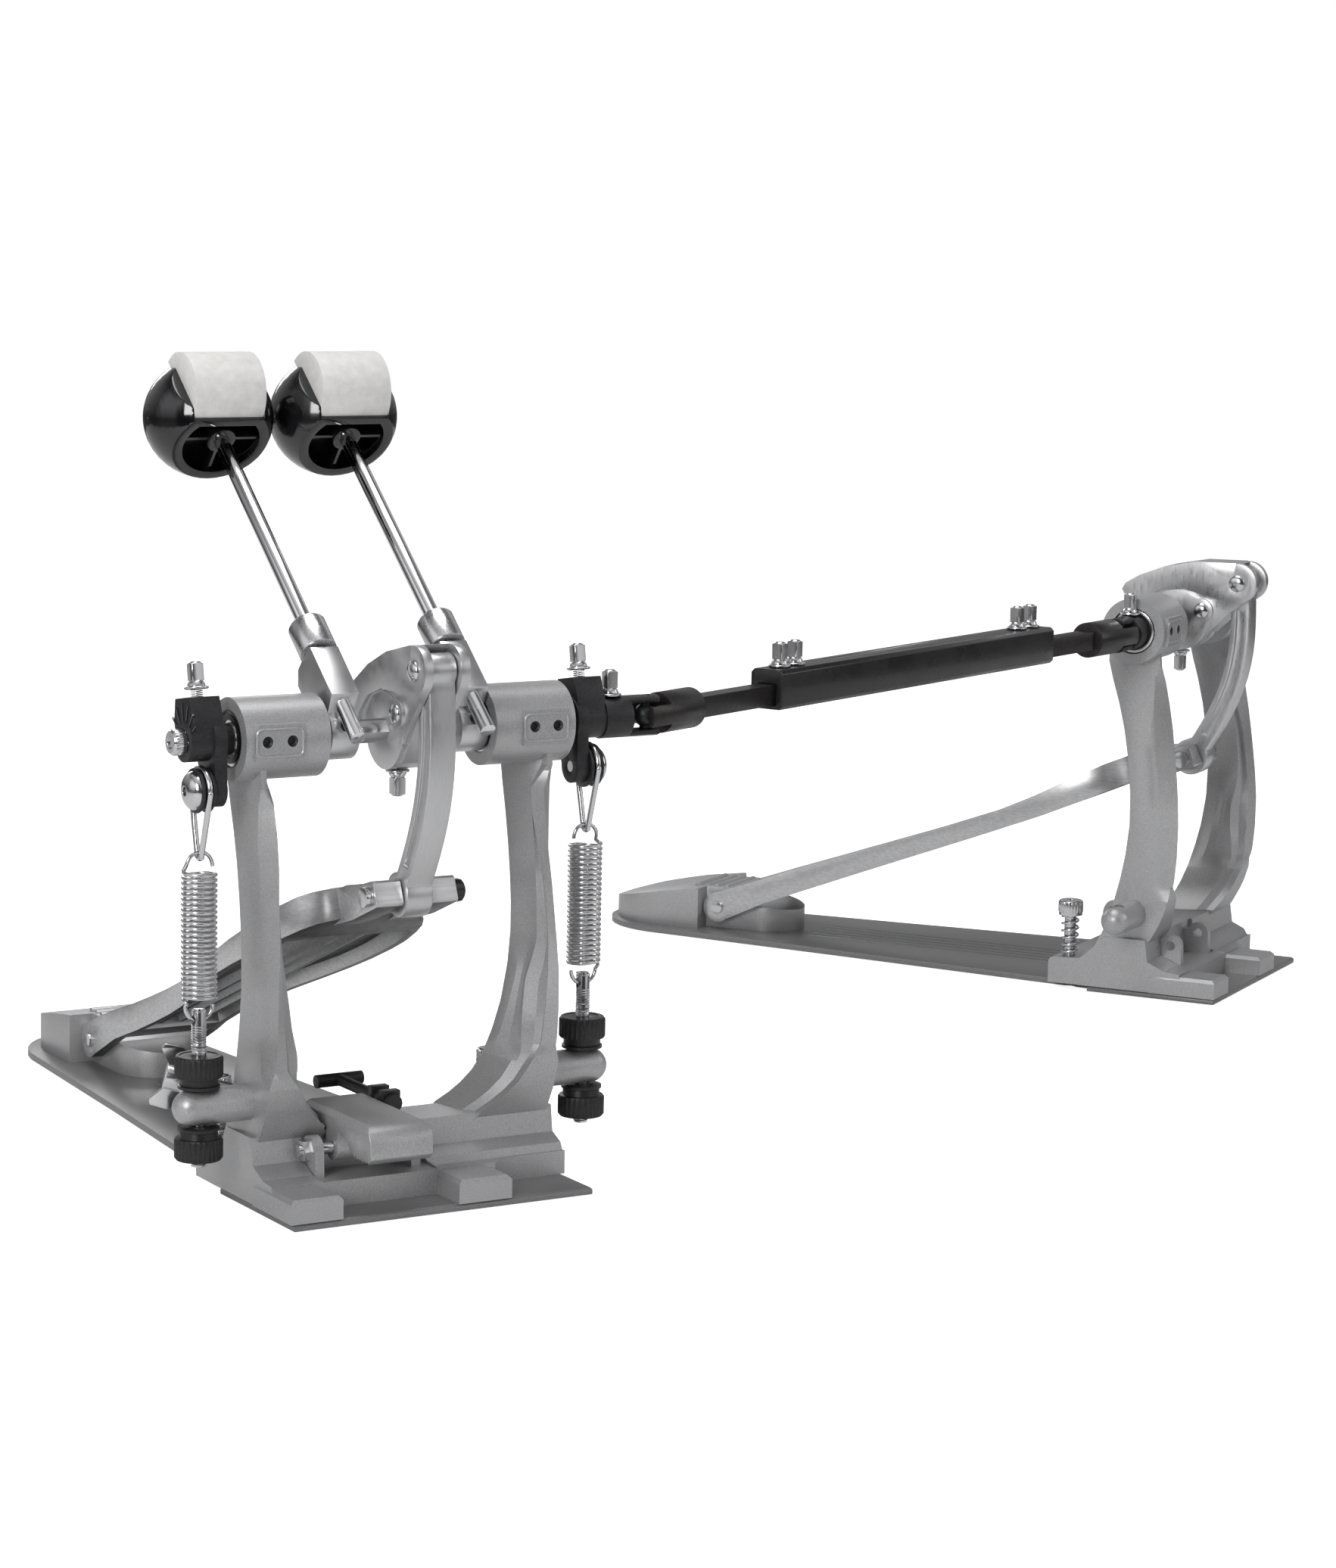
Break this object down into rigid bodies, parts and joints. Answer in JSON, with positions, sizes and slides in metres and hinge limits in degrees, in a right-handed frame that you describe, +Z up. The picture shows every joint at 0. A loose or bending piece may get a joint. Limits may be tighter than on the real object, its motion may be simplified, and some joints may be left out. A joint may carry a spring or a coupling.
{
  "type": "double bass drum pedal",
  "caption": "Double bass drum pedal: main pedal with beaters, springs and hoop clamp, telescopic drive shaft with universal joints, and a second pedal.",
  "frame": {"origin": "on the floor below the middle of the main axle, on the underside of the main base plate", "axes": "+X along the main axle towards the second pedal, +Y towards the heel, +Z up"},
  "size_m": [0.934, 0.682, 0.4118],
  "materials": {
    "cast": "silver speckled casting paint",
    "plate": "grey coated sheet steel",
    "alloy": "satin brushed aluminium",
    "chrome": "polished chrome",
    "zinc": "bright zinc plated steel",
    "black_steel": "matte black cast steel",
    "tube_black": "satin black tube",
    "bar_dark": "dark browned steel bar",
    "black_plastic": "black moulded plastic",
    "knob_black": "black painted knurled metal",
    "gloss_plastic": "gloss black plastic",
    "felt": "white pressed felt"
  },
  "bodies": {
    "main_pedal": {"primary_base_plate": "plate", "primary_floor_plate": "plate", "primary_frame": "cast", "primary_heel_block": "cast", "primary_bearings": "zinc", "clamp_bolt": "zinc", "drum_key": "black_steel"},
    "main_left_spur": {"primary_left_spur": "zinc"},
    "main_right_spur": {"primary_right_spur": "zinc"},
    "hoop_jaw": {"clamp_jaw": "cast"},
    "wing_bolt": {"clamp_wing_bolt": "zinc"},
    "left_bolt": {"left_tension_bolt": "zinc"},
    "right_bolt": {"right_tension_bolt": "zinc"},
    "left_knobs": {"left_tension_knobs": "knob_black"},
    "right_knobs": {"right_tension_knobs": "knob_black"},
    "left_coil": {"left_spring": "zinc"},
    "right_coil": {"right_spring": "zinc"},
    "left_hanger": {"left_stirrup": "zinc"},
    "right_hanger": {"right_stirrup": "zinc"},
    "main_axle": {"primary_axle": "zinc", "left_rocker": "black_steel", "left_pulley": "black_plastic", "left_beater_hub": "chrome", "left_beater_collar": "zinc", "left_beater_rod": "chrome", "left_beater_head": "gloss_plastic", "left_beater_felt": "felt", "primary_cam": "alloy", "primary_axle_screws": "zinc"},
    "main_link": {"primary_link": "alloy"},
    "main_board": {"primary_footboard": "alloy", "primary_footboard_pins": "zinc"},
    "driven_axle": {"drive_axle": "zinc", "right_rocker": "black_steel", "right_pulley": "black_plastic", "right_beater_hub": "chrome", "right_beater_collar": "zinc", "right_beater_rod": "chrome", "right_beater_head": "gloss_plastic", "right_beater_felt": "felt", "drive_coupler": "black_steel", "drive_axle_screws": "zinc", "primary_joint_cross": "zinc"},
    "drive_shaft": {"primary_shaft_bar": "bar_dark", "shaft_tube": "tube_black", "shaft_tube_screws": "zinc"},
    "second_pedal": {"secondary_frame": "cast", "secondary_base_plate": "plate", "secondary_floor_plate": "plate", "secondary_heel_block": "cast", "secondary_bearings": "zinc"},
    "second_bar": {"secondary_shaft_bar": "bar_dark"},
    "second_axle": {"secondary_axle": "black_steel", "secondary_cam": "alloy", "secondary_axle_screws": "zinc", "secondary_joint_cross": "zinc"},
    "second_link": {"secondary_link": "alloy"},
    "second_board": {"secondary_footboard": "alloy", "secondary_footboard_pins": "zinc"},
    "second_spurs": {"secondary_spurs": "zinc"}
  },
  "joints": [
    {"name": "primary_stroke", "type": "hinge", "parent": "main_pedal", "child": "main_axle", "pos_m": [0, 0, 0.232], "axis": [1, 0, 0], "range_deg": [-8, 50], "stiffness_Nm_per_rad": 2, "springref_deg": 3.44, "deforming": ["left_spring"]},
    {"name": "secondary_stroke", "type": "hinge", "parent": "main_pedal", "child": "driven_axle", "pos_m": [0, 0, 0.232], "axis": [1, 0, 0], "range_deg": [-8, 50], "stiffness_Nm_per_rad": 2, "springref_deg": 3.44, "deforming": ["right_spring"]},
    {"name": "primary_link_pivot", "type": "hinge", "parent": "main_axle", "child": "main_link", "pos_m": [0, -0.03284, 0.26507], "axis": [1, 0, 0], "range_deg": [-49.2, 8.7]},
    {"name": "primary_board_hinge", "type": "hinge", "parent": "main_pedal", "child": "main_board", "pos_m": [0, 0.31001, 0.0184], "axis": [1, 0, 0], "range_deg": [-2, 7.2]},
    {"name": "left_stirrup_swing", "type": "hinge", "parent": "main_axle", "child": "left_hanger", "pos_m": [-0.1075, -0.00401, 0.20854], "axis": [1, 0, 0], "range_deg": [-60.8, 10.6]},
    {"name": "right_stirrup_swing", "type": "hinge", "parent": "driven_axle", "child": "right_hanger", "pos_m": [0.1075, -0.00401, 0.20854], "axis": [1, 0, 0], "range_deg": [-60.8, 10.6]},
    {"name": "left_spring_swing", "type": "hinge", "parent": "left_bolt", "child": "left_coil", "pos_m": [-0.1075, -0.003, 0.0955], "axis": [1, 0, 0], "range_deg": [-10.8, 2.6], "deforming": ["left_spring"]},
    {"name": "right_spring_swing", "type": "hinge", "parent": "right_bolt", "child": "right_coil", "pos_m": [0.1075, -0.003, 0.0955], "axis": [1, 0, 0], "range_deg": [-10.8, 2.6], "deforming": ["right_spring"]},
    {"name": "left_knob_turn", "type": "hinge", "parent": "main_pedal", "child": "left_knobs", "pos_m": [-0.1075, -0.003, 0.053], "axis": [0, 0, 1], "range_deg": [-1440, 1440], "deforming": ["left_spring"]},
    {"name": "right_knob_turn", "type": "hinge", "parent": "main_pedal", "child": "right_knobs", "pos_m": [0.1075, -0.003, 0.053], "axis": [0, 0, 1], "range_deg": [-1440, 1440], "deforming": ["right_spring"]},
    {"name": "left_tension_slide", "type": "slide", "parent": "main_pedal", "child": "left_bolt", "axis": [0, 0, 1], "range_m": [-0.0051, 0.0051], "deforming": ["left_spring"]},
    {"name": "right_tension_slide", "type": "slide", "parent": "main_pedal", "child": "right_bolt", "axis": [0, 0, 1], "range_m": [-0.0051, 0.0051], "deforming": ["right_spring"]},
    {"name": "wing_bolt_turn", "type": "hinge", "parent": "main_pedal", "child": "wing_bolt", "pos_m": [-0.103, 0.03, 0.0595], "axis": [0.9057, -0.3465, -0.2441], "range_deg": [-150, 1800]},
    {"name": "jaw_pivot", "type": "hinge", "parent": "main_pedal", "child": "hoop_jaw", "pos_m": [-0.027, -0.0205, 0.0295], "axis": [1, 0, 0], "range_deg": [-1.6, 18.2]},
    {"name": "left_spur_slide", "type": "slide", "parent": "main_pedal", "child": "main_left_spur", "axis": [0, 0, 1], "range_m": [-0.008, 0.004]},
    {"name": "right_spur_slide", "type": "slide", "parent": "main_pedal", "child": "main_right_spur", "axis": [0, 0, 1], "range_m": [-0.008, 0.004]},
    {"name": "shaft_spin", "type": "hinge", "parent": "main_pedal", "child": "drive_shaft", "pos_m": [0.143, 0, 0.232], "axis": [0.9103, 0.414, 0], "range_deg": [-9, 51]},
    {"name": "second_pedal_reach", "type": "slide", "parent": "main_pedal", "child": "second_pedal", "axis": [0.9103, 0.414, 0], "range_m": [-0.03, 0.03]},
    {"name": "second_bar_spin", "type": "hinge", "parent": "second_pedal", "child": "second_bar", "pos_m": [0.61028, 0.2125, 0.232], "axis": [0.9103, 0.414, 0], "range_deg": [-9, 51]},
    {"name": "second_axle_turn", "type": "hinge", "parent": "second_pedal", "child": "second_axle", "pos_m": [0.708, 0.275, 0.232], "axis": [0.8425, 0.5388, 0], "range_deg": [-9, 51]},
    {"name": "second_link_pivot", "type": "hinge", "parent": "second_axle", "child": "second_link", "pos_m": [0.72901, 0.24215, 0.25752], "axis": [0.8425, 0.5388, 0], "range_deg": [-53.3, 9.4]},
    {"name": "second_board_hinge", "type": "hinge", "parent": "second_pedal", "child": "second_board", "pos_m": [0.54097, 0.53617, 0.0184], "axis": [0.8425, 0.5388, 0], "range_deg": [-2.1, 8]},
    {"name": "second_spurs_slide", "type": "slide", "parent": "second_pedal", "child": "second_spurs", "axis": [0, 0, 1], "range_m": [-0.008, 0.004]}
  ],
  "couplings": [
    {"joint": "primary_link_pivot", "follows": "primary_stroke", "ratio": -0.9632},
    {"joint": "primary_board_hinge", "follows": "primary_stroke", "ratio": 0.1245},
    {"joint": "left_stirrup_swing", "follows": "primary_stroke", "ratio": -1.195},
    {"joint": "left_spring_swing", "follows": "primary_stroke", "ratio": -0.195},
    {"joint": "right_stirrup_swing", "follows": "secondary_stroke", "ratio": -1.195},
    {"joint": "right_spring_swing", "follows": "secondary_stroke", "ratio": -0.195},
    {"joint": "shaft_spin", "follows": "secondary_stroke", "ratio": 1},
    {"joint": "second_bar_spin", "follows": "secondary_stroke", "ratio": 1},
    {"joint": "second_axle_turn", "follows": "secondary_stroke", "ratio": 1},
    {"joint": "second_link_pivot", "follows": "secondary_stroke", "ratio": -1.0466},
    {"joint": "second_board_hinge", "follows": "secondary_stroke", "ratio": 0.1395},
    {"joint": "left_tension_slide", "follows": "left_knob_turn", "m_per_rad": 0.0001989},
    {"joint": "right_tension_slide", "follows": "right_knob_turn", "m_per_rad": 0.0001989},
    {"joint": "jaw_pivot", "follows": "wing_bolt_turn", "ratio": 0.01}
  ]
}
